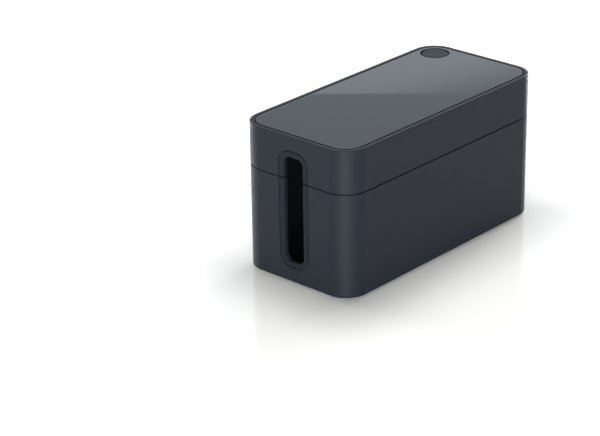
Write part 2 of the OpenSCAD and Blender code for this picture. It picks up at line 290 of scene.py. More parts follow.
def housing_section(shape):
    """From the floor inside, up the wall, over the locating lip and the rim, and down to the underside."""
    wall, fillet, small = shape.wall, shape.inner_fillet, shape.small_edge
    lip_outer = wall - shape.lip
    rim = TRIM_LOWER_HIGH.z - shape.gap_relief
    return [
        *corner(wall, BASE_LOW.z + shape.floor, fillet, -90, -180, steps=5),
        *corner(wall, BASE_HIGH.z, small, 0, 90),
        *corner(lip_outer, BASE_HIGH.z, small, 90, 180),
        (lip_outer, rim),
        *corner(0, rim, shape.gap_edge, 90, 180, steps=5),
        *corner(0, BASE_LOW.z, shape.bottom_edge, 180, 270, steps=8),
        (wall + fillet, BASE_LOW.z),
    ]


def lid_section(shape):
    """From the pocket floor, over the rim, down the outside, round the skirt, and up to the plate."""
    wall, fillet, small, rim = shape.wall, shape.inner_fillet, shape.small_edge, shape.rim_width
    skirt_inner = wall - shape.lip - shape.lip_clearance
    skirt_bottom = LID_LOW.z + shape.gap_relief
    return [
        (wall + fillet, POCKET_FLOOR),
        (rim, POCKET_FLOOR),
        *corner(rim, LID_HIGH.z, small, 0, 90),
        *corner(0, LID_HIGH.z, shape.top_edge, 90, 180, steps=8),
        *corner(0, skirt_bottom, shape.gap_edge, 180, 270, steps=5),
        *corner(skirt_inner, skirt_bottom, small, 270, 360),
        (skirt_inner, BASE_HIGH.z),
        (wall, BASE_HIGH.z),
        *corner(wall, POCKET_FLOOR - shape.plate, fillet, 180, 90, steps=5),
    ]


def mat_section(shape):
    """The mat's rounded edge, open towards the middle at the bottom and the top."""
    edge = shape.mat_edge
    return [
        (4 * edge, MAT_LOW.z),
        (0, MAT_LOW.z),
        *corner(0, MAT_HIGH.z, edge, 180, 90, steps=5),
        (4 * edge, MAT_HIGH.z),
    ]


def trim_section(shape):
    """Closed section of a slot trim, with height 0 at the end face: face flange, collar and inner grip."""
    face, small = shape.trim_face, shape.small_edge
    depth = TRIM_LOWER_HIGH.x - TRIM_LOWER_LOW.x
    collar = face - shape.trim_collar
    grip = collar - shape.trim_grip
    behind = shape.wall + shape.trim_clearance
    return [
        *corner(0, 0, small, 180, 90),
        *corner(face, 0, shape.trim_edge, 90, 0, steps=5),
        *corner(face, -depth, small, 0, -90),
        *corner(grip, -depth, small, 270, 180),
        (grip, -behind),
        (collar, -behind),
        (collar, -shape.trim_flange),
        (0, -shape.trim_flange),
    ]


def slot_cut_section(shape):
    """What a slot takes out of a wall: the trim's recess, whose edge is rounded, and the way through."""
    seam, small = shape.trim_seam, shape.small_edge
    seat = shape.trim_flange + shape.trim_clearance
    way = shape.trim_face - shape.trim_collar - shape.trim_clearance
    return [
        (-seam - small, OVERRUN),
        *corner(-seam, 0, small, 90, 0),
        (-seam, -seat),
        (way, -seat),
        (way, -shape.wall - OVERRUN),
    ]


# ---- Half sections of round parts: lists of (radius, height), in metres ----

def port_boss_section(shape, radius):
    """Boss under the stopper's recess with its guide collar, closed below and open into the plate."""
    boss_bottom = POCKET_FLOOR - shape.port_seat - shape.port_boss
    collar = shape.port_bore / 2 + shape.port_collar_wall
    edge = 2 * shape.small_edge
    return [
        (radius, POCKET_FLOOR - shape.plate / 2),
        *corner(radius, boss_bottom, edge, 0, -90),
        *corner(collar, boss_bottom, edge, 90, 180),
        *corner(collar, boss_bottom - shape.port_collar, edge, 0, -90),
    ]


def port_cut_section(shape, radius):
    """What the port takes out of the lid: the stopper's recess and the bore, with rounded edges."""
    recess, bore = shape.port_recess / 2, shape.port_bore / 2
    edge = radius - recess
    seat = POCKET_FLOOR - shape.port_seat
    collar_bottom = seat - shape.port_boss - shape.port_collar
    return [
        (radius, POCKET_FLOOR + OVERRUN),
        *corner(recess, POCKET_FLOOR, edge, 90, 180),
        (recess, seat),
        *corner(bore, seat, edge, 90, 180),
        *corner(bore, collar_bottom, edge, 180, 270),
        (bore + edge, collar_bottom - OVERRUN),
    ]


def mat_cut_section(shape, radius):
    """The round hole in the mat, with the mat's edge rounding."""
    hole = radius - shape.mat_edge
    return [
        (radius, MAT_HIGH.z + OVERRUN),
        *corner(hole, MAT_HIGH.z, shape.mat_edge, 90, 180, steps=5),
        (hole, MAT_LOW.z - OVERRUN),
    ]


def stopper_section(shape, radius):
    """The stopper's top, moat, seating flange, sealing rings and hollow skirt."""
    small, edge = shape.small_edge, shape.stopper_edge
    top = shape.port_recess / 2 - shape.stopper_moat
    skirt = shape.port_bore / 2 - shape.stopper_slack
    ring = shape.port_bore / 2 - shape.ring_slack
    hollow = skirt - shape.stopper_wall
    seat = POCKET_FLOOR - shape.port_seat
    flange_top = seat + shape.stopper_flange
    ceiling = STOPPER_HIGH.z - shape.stopper_top
    half_ring = shape.ring_height / 2
    lowest_ring = STOPPER_LOW.z + 3 * half_ring
    rings = []
    for middle in (lowest_ring + shape.ring_pitch, lowest_ring):
        rings += [
            (skirt, middle + half_ring),
            *((skirt + (ring - skirt) * math.cos(a), middle + half_ring * math.sin(a))
              for a in RING_ANGLES),
            (skirt, middle - half_ring)]
    return [
        (0, STOPPER_HIGH.z),
        *corner(top, STOPPER_HIGH.z, edge, 90, 0, steps=5),
        *corner(top, flange_top, small, 180, 270),
        *corner(radius, flange_top, small, 90, 0),
        (radius, seat),
        (skirt, seat),
        *rings,
        *corner(skirt, STOPPER_LOW.z, small, 0, -90),
        *corner(hollow, STOPPER_LOW.z, small, 270, 180),
        *corner(hollow, ceiling, edge, 0, 90),
        (0, ceiling),
    ]


def foot_section(shape, radius):
    """A foot, with a shallow ring in its lower face."""
    small, ring = shape.small_edge, radius * FOOT_RING
    return [
        (0, FOOT_LOW.z),
        (ring - 2 * small, FOOT_LOW.z),
        (ring - small, FOOT_LOW.z + small),
        (ring + small, FOOT_LOW.z + small),
        (ring + 2 * small, FOOT_LOW.z),
        *corner(radius, FOOT_LOW.z, shape.foot_edge, -90, 0, steps=5),
        *corner(radius, FOOT_HIGH.z, small, 0, 90),
        (0, FOOT_HIGH.z),
    ]


def foot_cut_section(shape, radius):
    """A foot's recess in the floor, with a rounded mouth."""
    recess, recess_top = radius - shape.small_edge, BASE_LOW.z + shape.foot_recess
    return [
        (0, BASE_LOW.z - OVERRUN),
        (radius, BASE_LOW.z - OVERRUN),
        *corner(recess, BASE_LOW.z, shape.small_edge, 270, 180),
        (recess, recess_top),
        (0, recess_top),
    ]


# ---- Node trees ----

class Nodes:
    """Adds nodes to a tree. An input is a name or number with its value, or with the socket to link."""

    ROW = 8
    WIDTH = 200
    HEIGHT = 260

    def __init__(self, tree):
        self.tree = tree

    def feed(self, node, inputs):
        for key, value in inputs.items():
            if isinstance(value, bpy.types.NodeSocket):
                self.tree.links.new(value, node.inputs[key])
            else:
                node.inputs[key].default_value = value
        return node

    def add(self, kind, inputs=None, **attributes):
        row, column = divmod(len(self.tree.nodes), self.ROW)
        node = self.tree.nodes.new(kind)
        node.location = (column * self.WIDTH, -row * self.HEIGHT)
        for key, value in attributes.items():
            setattr(node, key, value)
        return self.feed(node, inputs or {})

    def group(self, tree, inputs):
        return self.add("ShaderNodeGroup", inputs, node_tree=tree).outputs

    def place(self):
        """The point's place in the object's own frame."""
        return self.add("ShaderNodeTexCoord").outputs["Object"]

    def xyz(self, vector):
        return self.add("ShaderNodeSeparateXYZ", {"Vector": vector}).outputs

    def upward(self):
        """How far the surface faces up, from -1 to 1."""
        return self.xyz(self.add("ShaderNodeNewGeometry").outputs["Normal"])["Z"]

    def maths(self, operation, *values):
        return self.add("ShaderNodeMath", dict(enumerate(values)), operation=operation).outputs["Value"]

    def vector(self, operation, *values, output="Vector"):
        node = self.add("ShaderNodeVectorMath", dict(enumerate(values)), operation=operation)
        return node.outputs[output]

    def scaled(self, vector, factor):
        node = self.add("ShaderNodeVectorMath", {0: vector, "Scale": factor}, operation="SCALE")
        return node.outputs["Vector"]

    def mixed(self, share, first, second):
        return self.add("ShaderNodeMix", {0: share, 2: first, 3: second}, data_type="FLOAT").outputs[0]

    def mixed_colour(self, share, first, second):
        return self.add("ShaderNodeMix", {0: share, 6: first, 7: second}, data_type="RGBA").outputs[2]

    def ramp(self, value, start, end, low=0.0, high=1.0, kind="SMOOTHSTEP"):
        """Goes from low to high while the value goes from start to end."""
        return self.add("ShaderNodeMapRange", {
            "Value": value, "From Min": start, "From Max": end, "To Min": low, "To Max": high,
        }, interpolation_type=kind).outputs["Result"]

    def noise(self, vector, scale, detail, roughness, distortion=0.0):
        return self.add("ShaderNodeTexNoise", {
            "Vector": vector, "Scale": scale, "Detail": detail, "Roughness": roughness,
            "Distortion": distortion}).outputs["Fac"]

    def bump(self, height, depth):
        """A normal that follows the height, with its depth in metres."""
        return self.add("ShaderNodeBump", {
            "Strength": 1.0, "Distance": depth, "Height": height}).outputs["Normal"]

    def past_corner(self, corner):
        """How far the point is past a level rectangle's corner, and its distance from the rectangle."""
        past = self.vector("SUBTRACT", self.vector("ABSOLUTE", self.place()), corner)
        level = self.vector("MULTIPLY", past, (1.0, 1.0, 0.0))
        outside = self.vector("MAXIMUM", level, (0.0, 0.0, 0.0))
        return past, self.vector("LENGTH", outside, output="Value")


def node_group(name, kind, inputs, outputs):
    """Makes a function that draws a node group into one that returns the group, drawn the first time.

    inputs and outputs name the sockets and their kinds. The drawing function gets the nodes and the
    given inputs, and returns what feeds each output.
    """
    def drawn_once(draw):
        def group():
            tree = bpy.data.node_groups.get(name)
            if not tree:
                tree = bpy.data.node_groups.new(name, kind)
                for side, sockets in (("INPUT", inputs), ("OUTPUT", outputs)):
                    for label, socket in sockets.items():
                        tree.interface.new_socket(label, in_out=side, socket_type="NodeSocket" + socket)
                nodes = Nodes(tree)
                given = nodes.add("NodeGroupInput").outputs
                nodes.feed(nodes.add("NodeGroupOutput"), draw(nodes, given))
            return tree
        return group
    return drawn_once


# ---- Geometry Nodes trees ----

def plain_mesh(nodes, geometry, given):
    """Ends a tree with one painted mesh and no instances, as the export needs it."""
    plain = nodes.add("GeometryNodeRealizeInstances", {"Geometry": geometry})
    painted = nodes.add("GeometryNodeSetMaterial", {
        "Geometry": plain.outputs["Geometry"], "Material": given["Material"]})
    return {"Mesh": painted.outputs["Geometry"]}


def sweep_along(nodes, path, given):
    """Sweeps the drawn section along a level path, welds it, and ends the tree."""
    upright = nodes.add("GeometryNodeSetCurveNormal", {"Curve": path}, mode="Z_UP")
    profile = nodes.add("GeometryNodeMeshToCurve", {"Mesh": given["Section"]})
    swept = nodes.add("GeometryNodeCurveToMesh", {
        "Curve": upright.outputs["Curve"], "Profile Curve": profile.outputs["Curve"]})
    welded = nodes.add("GeometryNodeMergeByDistance", {
        "Geometry": swept.outputs["Mesh"], "Distance": WELD})
    return plain_mesh(nodes, welded.outputs["Geometry"], given)


@node_group("Swept Section", "GeometryNodeTree", {
    "Section": "Geometry", "Length": "Float", "Width": "Float", "Corner Radius": "Float",
    "Corner Steps": "Int", "Material": "Material"}, {"Mesh": "Geometry"})
def swept_section_group(nodes, given):
    """Sweeps a drawn section round a rectangle with round corners."""
    outline = nodes.add("GeometryNodeCurvePrimitiveQuadrilateral", {
        "Width": given["Length"], "Height": given["Width"]}, mode="RECTANGLE")
    rounded = nodes.add("GeometryNodeFilletCurve", {
        "Curve": outline.outputs["Curve"], "Count": given["Corner Steps"],
        "Radius": given["Corner Radius"]}, mode="POLY")
    return sweep_along(nodes, rounded.outputs["Curve"], given)


@node_group("Turned Section", "GeometryNodeTree", {
    "Section": "Geometry", "Radius": "Float", "Steps": "Int", "Material": "Material"},
    {"Mesh": "Geometry"})
def turned_section_group(nodes, given):
    """Sweeps a drawn section round a circle, as on a lathe."""
    circle = nodes.add("GeometryNodeCurvePrimitiveCircle", {
        "Resolution": given["Steps"], "Radius": given["Radius"]}, mode="RADIUS")
    return sweep_along(nodes, circle.outputs["Curve"], given)


@node_group("Part At Four Corners", "GeometryNodeTree", {
    "Section": "Geometry", "Radius": "Float", "Spacing Length": "Float", "Spacing Width": "Float",
    "Steps": "Int", "Material": "Material"}, {"Mesh": "Geometry"})
def four_corners_group(nodes, given):
    """Turns a drawn section into a round part and repeats it at the corners of a rectangle."""
    part = nodes.add("GeometryNodeGroup", {
        label: given[label] for label in ("Section", "Radius", "Steps")}, node_tree=turned_section_group())
    corners = nodes.add("GeometryNodeCurvePrimitiveQuadrilateral", {
        "Width": given["Spacing Length"], "Height": given["Spacing Width"]}, mode="RECTANGLE")
    placed = nodes.add("GeometryNodeInstanceOnPoints", {
        "Points": corners.outputs["Curve"], "Instance": part.outputs["Mesh"]})
    return plain_mesh(nodes, placed.outputs["Instances"], given)


# ---- Mesh work ----

@contextmanager
def editing(obj):
    """Opens the object's mesh for editing, and writes it back."""
    work = bmesh.new()
    work.from_mesh(obj.data)
    yield work
    work.to_mesh(obj.data)
    work.free()


def close_holes(work):
    open_edges = [e for e in work.edges if e.is_boundary]
    if open_edges:
        bmesh.ops.holes_fill(work, edges=open_edges, sides=0)


def link(obj):
    bpy.context.scene.collection.objects.link(obj)
    return obj


def apply_modifiers(obj):
    """Makes what the modifiers show the object's own mesh."""
    old = obj.data
    name = old.name
    depsgraph = bpy.context.evaluated_depsgraph_get()
    mesh = bpy.data.meshes.new_from_object(obj.evaluated_get(depsgraph))
    obj.modifiers.clear()
    obj.data = mesh
    bpy.data.meshes.remove(old)
    mesh.name = name


def run_tree(tree, name, section, values, closed=False):
    """Draws a section, runs a node tree on it, and returns the object with the closed plain mesh."""
    count = len(section)
    edges = [(k, (k + 1) % count) for k in range(count if closed else count - 1)]
    drawn = bpy.data.meshes.new(name)
    drawn.from_pydata([(-inset, -height, 0) for inset, height in section], edges, [])
    obj = link(bpy.data.objects.new(name, drawn))
    modifier = obj.modifiers.new("Sweep", "NODES")
    modifier.node_group = tree
    sockets = {s.name: s.identifier for s in tree.interface.items_tree if s.in_out == "INPUT"}
    for label, value in values.items():
        modifier[sockets[label]] = value
    apply_modifiers(obj)
    with editing(obj) as work:
        close_holes(work)
        bmesh.ops.recalc_face_normals(work, faces=work.faces)
    return obj


def sweep(name, section, outline, radius, shape, material=None, closed=False):
    """A section swept round a level rectangle with round corners."""
    return run_tree(swept_section_group(), name, section, {
        "Length": outline[0], "Width": outline[1], "Corner Radius": radius,
        "Corner Steps": shape.corner_steps, "Material": material}, closed)


def from_axis(section, shape, radius):
    """A half section's points as insets from its outer radius."""
    return [(radius - distance, height) for distance, height in section(shape, radius)]


def at_port(name, section, radius, shape, material=None):
    """A round part about the middle of the cable port."""
    obj = run_tree(turned_section_group(), name, from_axis(section, shape, radius), {
        "Radius": radius, "Steps": 4 * shape.corner_steps, "Material": material})
    middle = (STOPPER_LOW + STOPPER_HIGH) / 2
    obj.data.transform(Matrix.Translation((middle.x, middle.y, 0)))
    return obj


def at_feet(name, section, radius, shape, material=None):
    """A round part at each of the four feet."""
    middle = (FOOT_LOW + FOOT_HIGH) / 2
    return run_tree(four_corners_group(), name, from_axis(section, shape, radius), {
        "Radius": radius, "Spacing Length": -2 * middle.x, "Spacing Width": -2 * middle.y,
        "Steps": 2 * shape.corner_steps, "Material": material})


def combine(obj, tool, operation):
    """Cuts the tool's shape out of the piece or adds it, and removes the tool."""
    modifier = obj.modifiers.new(operation.title(), "BOOLEAN")
    modifier.operation = operation
    modifier.solver = "EXACT"
    modifier.object = tool
    apply_modifiers(obj)
    bpy.data.meshes.remove(tool.data)    # which removes its object too


def end_face(side):
    """Turns a shape drawn flat, with +Z outwards and +Y up, on to the left (-1) or right (1) end face."""
    middle = (TRIM_LOWER_LOW.z + TRIM_UPPER_HIGH.z) / 2
    turned = Matrix(((0, 0, side), (side, 0, 0), (0, 1, 0))).to_4x4()
    return Matrix.Translation((side * BASE_HIGH.x, 0, middle)) @ turned


def cut_slots(obj, shape):
    for side in (-1, 1):
        cutter = sweep("slot_cut", slot_cut_section(shape), TRIM_OUTLINE, shape.trim_radius, shape)
        cutter.data.transform(end_face(side))
        combine(obj, cutter, "DIFFERENCE")


def keep_part(obj, height, side):
    """Cuts a piece off level at a height, keeps what is below (-1) or above (1) it, and caps the cut."""
    with editing(obj) as work:
        bmesh.ops.bisect_plane(
            work, geom=work.verts[:] + work.edges[:] + work.faces[:], dist=WELD / 10,
            plane_co=(0, 0, height), plane_no=(0, 0, -side), clear_outer=True)
        close_holes(work)


def finish_piece(obj, body, slot, *cad_nodes):
    """Welds, shades and paints a piece, hangs it on its body's empty, and hides its CAD nodes."""
    with editing(obj) as work:
        bmesh.ops.remove_doubles(work, verts=work.verts, dist=WELD)
        bmesh.ops.dissolve_degenerate(work, edges=work.edges, dist=WELD)
        bmesh.ops.recalc_face_normals(work, faces=work.faces)
        stray = [e for e in work.edges if not e.is_manifold]
        if stray:
            raise RuntimeError(f"{obj.name} has {len(stray)} edges that don't close")
    # Faces that a cut or a boss brought along take the piece's own material too
    material = obj.data.materials[0]
    obj.data.materials.clear()
    obj.data.materials.append(material)
    for polygon in obj.data.polygons:
        polygon.use_smooth = True
        polygon.material_index = 0
    obj.data.set_sharp_from_angle(angle=CRISP_ANGLE)
    obj.modifiers.new("Weighted Normal", "WEIGHTED_NORMAL").keep_sharp = True
    apply_modifiers(obj)
    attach(obj, body)
    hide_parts(*cad_nodes)


# ---- Shader groups shared by the materials ----

@node_group("Moulded Grain", "ShaderNodeTree", {"Scale": "Float", "Fine Share": "Float"},
            {"Height": "Float"})
def moulded_grain_group(nodes, given):
    """Height of a fine moulded grain: soft cells with finer noise over them, in grains per metre."""
    place = nodes.place()
    cells = nodes.add("ShaderNodeTexVoronoi", {
        "Vector": place, "Scale": given["Scale"], "Smoothness": 0.6}, feature="SMOOTH_F1")
    fine = nodes.noise(place, given["Scale"], detail=3.0, roughness=0.6)
    return {"Height": nodes.mixed(given["Fine Share"], cells.outputs["Distance"], fine)}


@node_group("Tone Drift", "ShaderNodeTree", {
    "Color": "Color", "Color Drift": "Float", "Roughness": "Float", "Roughness Drift": "Float",
    "Scale": "Float"}, {"Color": "Color", "Roughness": "Float"})
def tone_drift_group(nodes, given):
    """Slow drift of colour and gloss over a moulded surface, from uneven flow and handling."""
    def swing(source, amount):
        """1 + amount * (2 * source - 1)"""
        return nodes.maths("MULTIPLY_ADD", nodes.maths("MULTIPLY_ADD", source, 2.0, -1.0), amount, 1.0)

    place = nodes.place()
    slow = nodes.noise(place, given["Scale"], detail=4.0, roughness=0.55)
    smudge_scale = nodes.maths("MULTIPLY", given["Scale"], 9.0)
    smudge = nodes.noise(place, smudge_scale, detail=5.0, roughness=0.6, distortion=0.6)
    return {
        "Color": nodes.scaled(given["Color"], swing(slow, given["Color Drift"])),
        "Roughness": nodes.maths("MULTIPLY", swing(smudge, given["Roughness Drift"]), given["Roughness"])}


@node_group("Settled Dust", "ShaderNodeTree", {"Color": "Color", "Dust Color": "Color", "Amount": "Float"},
            {"Color": "Color"})
def settled_dust_group(nodes, given):
    """A trace of fine dust that lies on surfaces facing up, thicker in patches."""
    place = nodes.place()
    patches = nodes.noise(place, scale=60.0, detail=6.0, roughness=0.7)
    specks = nodes.noise(place, scale=2600.0, detail=2.0, roughness=0.5)
    spread = nodes.maths("MULTIPLY", patches, nodes.ramp(specks, start=0.5, end=0.8, kind="LINEAR"))
    on_top = nodes.maths("MULTIPLY", spread, nodes.ramp(nodes.upward(), start=0.55, end=0.95))
    mask = nodes.maths("MULTIPLY", on_top, given["Amount"])
    return {"Color": nodes.mixed_colour(mask, given["Color"], given["Dust Color"])}


@node_group("Moulding Inside", "ShaderNodeTree", {
    "Core Corner": "Vector", "Corner Radius": "Float", "Rim Width": "Float", "Wall": "Float",
    "Pocket Height": "Float"}, {"Mask": "Float"})
def moulding_inside_group(nodes, given):
    """Mask of the faces inside the outline: 0 on the outside and the rim, 1 in the pocket and inside."""
    past, corner = nodes.past_corner(given["Core Corner"])
    sides = nodes.xyz(past)
    nearer = nodes.maths("MINIMUM", nodes.maths("MAXIMUM", sides["X"], sides["Y"]), 0.0)
    inset = nodes.maths("SUBTRACT", nodes.maths("SUBTRACT", given["Corner Radius"], corner), nearer)
    in_lid_top = nodes.maths("GREATER_THAN", nodes.xyz(nodes.place())["Z"], given["Pocket Height"])
    limit = nodes.mixed(in_lid_top, given["Wall"], given["Rim Width"])
    return {"Mask": nodes.maths("GREATER_THAN", inset, limit)}


# ---- Materials ----

def material_once(name, dress):
    """The named material. dress(nodes) gives the inputs of its shader the first time."""
    material = bpy.data.materials.get(name)
    if not material:
        material = bpy.data.materials.new(name)
        material.use_nodes = True
        nodes = Nodes(material.node_tree)
        nodes.feed(nodes.tree.nodes["Principled BSDF"], dress(nodes))
    return material


def moulded_material(name, colour, roughness, *, grain, fine_share, tone_drift, gloss_drift, drift_scale,
                     dust, ior, bump, change=None, further=None):
    """A moulded material: drifting tone and gloss, fine grain as bump, and a trace of dust.

    grain and drift_scale count per metre, and bump is the grain's depth in metres. change(nodes, colour,
    gloss) gives the colour and gloss to show, and further holds more inputs of the shader.
    """
    def dress(nodes):
        tone = nodes.group(tone_drift_group(), {
            "Color": (*colour, 1.0), "Color Drift": tone_drift, "Roughness": roughness,
            "Roughness Drift": gloss_drift, "Scale": drift_scale})
        dusted = nodes.group(settled_dust_group(), {
            "Color": tone["Color"], "Amount": dust,
            "Dust Color": (*bpy.context.scene.cable_box_finish.dust_colour, 1.0)})
        grained = nodes.group(moulded_grain_group(), {"Scale": grain, "Fine Share": fine_share})
        shown, gloss = dusted["Color"], tone["Roughness"]
        if change:
            shown, gloss = change(nodes, shown, gloss)
        return {"Base Color": shown, "Roughness": gloss, "IOR": ior,
                "Normal": nodes.bump(grained["Height"], bump), **(further or {})}

    return material_once(name, dress)


def shell_material(scene):
    """Satin plastic of both mouldings, with painted shade on their inner faces, which are also matt."""
    shape, finish = scene.cable_box_shape, scene.cable_box_finish

    def paint_inside_shade(nodes, colour, gloss):
        radius = shape.corner_radius
        inside = nodes.group(moulding_inside_group(), {
            "Core Corner": (CAD_HIGH.x - radius, CAD_HIGH.y - radius, 0.0), "Corner Radius": radius,
            "Rim Width": shape.rim_width - shape.small_edge / 4, "Wall": shape.wall - shape.small_edge,
            "Pocket Height": POCKET_FLOOR - shape.plate / 2})["Mask"]
        # Painted shade: the inner faces' colour is scaled down where the inside of the box is in shade; the
        # higher roughness is their own matt finish
        painted_shade = nodes.maths("MULTIPLY_ADD", inside, finish.inside_painted_shade - 1.0, 1.0)
        return nodes.scaled(colour, painted_shade), nodes.mixed(inside, gloss, finish.inside_roughness)

    return moulded_material(
        "Satin Graphite Plastic", finish.shell_colour, finish.shell_roughness, grain=2600.0, fine_share=0.5,
        tone_drift=0.02, gloss_drift=0.06, drift_scale=14.0, dust=0.005, ior=1.30, bump=0.00002,
        change=paint_inside_shade, further={
            "Sheen Weight": finish.shell_sheen, "Sheen Roughness": 0.35,
            "Sheen Tint": (0.65, 0.82, 1.0, 1.0)})


def mat_material(scene):
    """Smooth mat that mirrors the room, matt on its cut edges, with painted shade there that darkens the
    groove round it.
    """
    finish = scene.cable_box_finish

    def matt_edge_with_painted_shade(nodes, colour, gloss, painted_shade=0.1, roughness=0.6):
        upward = nodes.upward()
        # Painted shade: the cut edges' colour falls to a tenth, darkening the groove round the mat; the
        # rougher gloss there is the edges' own matt finish
        face = nodes.ramp(upward, *CUT_EDGE, painted_shade, 1.0)
        edge = nodes.ramp(upward, *CUT_EDGE, 1.0, 0.0)
        return nodes.scaled(colour, face), nodes.mixed(edge, gloss, roughness)

    return moulded_material(
        "Smooth Soft Mat", finish.mat_colour, finish.mat_roughness, grain=900.0, fine_share=0.3,
        tone_drift=0.02, gloss_drift=0.0, drift_scale=10.0, dust=0.005, ior=1.26, bump=0.0000001,
        change=matt_edge_with_painted_shade)


def rubber_material(scene, name, colour):
    return moulded_material(
        name, colour, scene.cable_box_finish.rubber_roughness, grain=3400.0, fine_share=0.7,
        tone_drift=0.03, gloss_drift=0.08, drift_scale=40.0, dust=0.01, ior=1.20, bump=0.00002)


def adhesive_material(scene):
    """Double-sided adhesive sheet with stretched fibres, which cross at an angle."""
    def dress(nodes):
        place = nodes.place()
        fibres = []
        for angle in FIBRE_ANGLES:
            turned = nodes.add("ShaderNodeMapping", {
                "Vector": place, "Rotation": (0.0, 0.0, angle), "Scale": FIBRE_STRETCH})
            fibres.append(nodes.noise(turned.outputs["Vector"], scale=1.0, detail=3.0, roughness=0.6))
        woven = nodes.maths("MAXIMUM", *fibres)
        tone = nodes.ramp(woven, 0.4, 0.75, low=0.75, high=1.2, kind="LINEAR")
        return {
            "Base Color": nodes.scaled(scene.cable_box_finish.adhesive_colour, tone),
            "Roughness": nodes.ramp(woven, 0.3, 0.8, low=0.45, high=0.75, kind="LINEAR"),
            "Normal": nodes.bump(woven, depth=0.00003)}

    return material_once("Fibrous Adhesive Sheet", dress)


def floor_material(studio):
    """Pale studio floor with a faint unevenness and a clear coat. It glows away from the box: painted
    light, which leaves a painted shadow round the box.
    """
    def dress(nodes):
        tone = nodes.group(tone_drift_group(), {
            "Color": (*studio.floor_colour, 1.0), "Color Drift": 0.004,
            "Roughness": studio.floor_roughness, "Roughness Drift": 0.05, "Scale": 2.0})
        away = nodes.past_corner((CAD_HIGH.x, CAD_HIGH.y, 0.0))[1]
        # Painted light: emission rising with the distance from the box, which leaves a painted shadow round
        # it
        near = nodes.ramp(away, *NEAR_PAINTED_GLOW_REACH, 0.0, studio.near_painted_glow)
        far = nodes.ramp(away, *FAR_PAINTED_GLOW_REACH, 0.0, studio.far_painted_glow)
        return {
            "Base Color": tone["Color"], "Roughness": tone["Roughness"], "IOR": 1.4,
            "Coat Weight": 1.0, "Coat Roughness": 0.06,
            "Emission Color": WHITE, "Emission Strength": nodes.maths("ADD", near, far)}

    return material_once("Studio Floor", dress)


# ---- Lights ----

def from_middle(azimuth, elevation, distance):
    """A point round the box. Azimuth 0 is at -Y and 90 at +X, in degrees."""
    a, e = math.radians(azimuth), math.radians(elevation)
    return (distance * math.sin(a) * math.cos(e), -distance * math.cos(a) * math.cos(e),
            distance * math.sin(e))


def softbox(name, side, place, power):
    """A square area light that faces the middle of the box and isn't seen itself."""
    lamp = bpy.data.lights.new(name, "AREA")
    lamp.shape = "SQUARE"
    lamp.size = side
    lamp.energy = power
    made = link(bpy.data.objects.new(name, lamp))
    made.location = place
    made.rotation_mode = "QUATERNION"
    made.rotation_quaternion = (Vector((0, 0, CAD_HIGH.z / 2)) - Vector(place)).to_track_quat("-Z", "Y")
    made.visible_camera = False
    return made


def keep_off(lamps, piece):
    """Keeps the lamps' light off a smooth piece, which would mirror them as white patches."""
    kept_out = bpy.data.collections.new("kept_out_of_low_lights")
    kept_out.objects.link(piece)
    kept_out.collection_objects[0].light_linking.link_state = "EXCLUDE"
    for lamp in lamps:
        lamp.light_linking.receiver_collection = kept_out


def room_light(studio):
    """The room: dim, but brighter behind the box, with a lit wall whose top edge the mat mirrors."""
    world = bpy.data.worlds.new("Studio Room")
    bpy.context.scene.world = world
    world.use_nodes = True
    nodes = Nodes(world.node_tree)
    towards = nodes.add("ShaderNodeTexCoord").outputs["Generated"]
    height = nodes.xyz(towards)["Z"]
    sideways, behind = (nodes.vector("DOT_PRODUCT", towards, axis, output="Value")
                        for axis in (WALL_FADE_AXIS, BEHIND_AXIS))
    edge = math.sin(studio.wall_top)
    wall = nodes.ramp(height, edge - WALL_EDGE_BLUR, edge + WALL_EDGE_BLUR, studio.wall_light, 0.0)
    wall = nodes.maths("MULTIPLY", wall, nodes.ramp(sideways, *WALL_FADE))
    wall = nodes.maths("MULTIPLY", wall, nodes.ramp(height, *WALL_RISE))
    upper = nodes.ramp(behind, *BEHIND_FADE, 0.0, studio.ceiling_light)
    upper = nodes.maths("MULTIPLY", upper, nodes.ramp(height, *CEILING_FADE, 1.0, 0.0))
    lit = nodes.maths("ADD", nodes.maths("ADD", wall, upper), studio.room_light)
    seen = nodes.add("ShaderNodeLightPath").outputs["Is Camera Ray"]
    nodes.feed(nodes.tree.nodes["Background"], {
        "Strength": nodes.mixed(seen, lit, 1.0),
        "Color": nodes.mixed_colour(seen, (*studio.room_tint, 1.0), WHITE)})


# ---- Operators ----

class CABLEBOX_OT_housing(bpy.types.Operator):
    """Build the housing: wall, floor, locating lip, slot recesses and foot recesses"""

    bl_idname = "cable_box.housing"
    bl_label = "Housing"

    def execute(self, context):
        shape = context.scene.cable_box_shape
        piece = sweep("housing", housing_section(shape), BOX_OUTLINE, shape.corner_radius, shape,
                      shell_material(context.scene))
        cut_slots(piece, shape)
        mouth = FOOT_RADIUS + shape.foot_slack + shape.small_edge
        combine(piece, at_feet("foot_recesses", foot_cut_section, mouth, shape), "DIFFERENCE")
        finish_piece(piece, "base", "shell", "base_shell")
        return {"FINISHED"}


class CABLEBOX_OT_lid(bpy.types.Operator):
    """Build the lid: skirt, rim, pocket for the mat, slot recesses and the cable port with its boss"""

    bl_idname = "cable_box.lid"
    bl_label = "Lid"

    def execute(self, context):
        shape = context.scene.cable_box_shape
        piece = sweep("lid", lid_section(shape), BOX_OUTLINE, shape.corner_radius, shape,
                      shell_material(context.scene))
        boss = shape.port_recess / 2 + shape.port_boss
        combine(piece, at_port("port_boss", port_boss_section, boss, shape), "UNION")
        mouth = shape.port_recess / 2 + shape.small_edge
        combine(piece, at_port("port_cut", port_cut_section, mouth, shape), "DIFFERENCE")
        cut_slots(piece, shape)
        finish_piece(piece, "lid", "shell", "lid_shell")
        return {"FINISHED"}


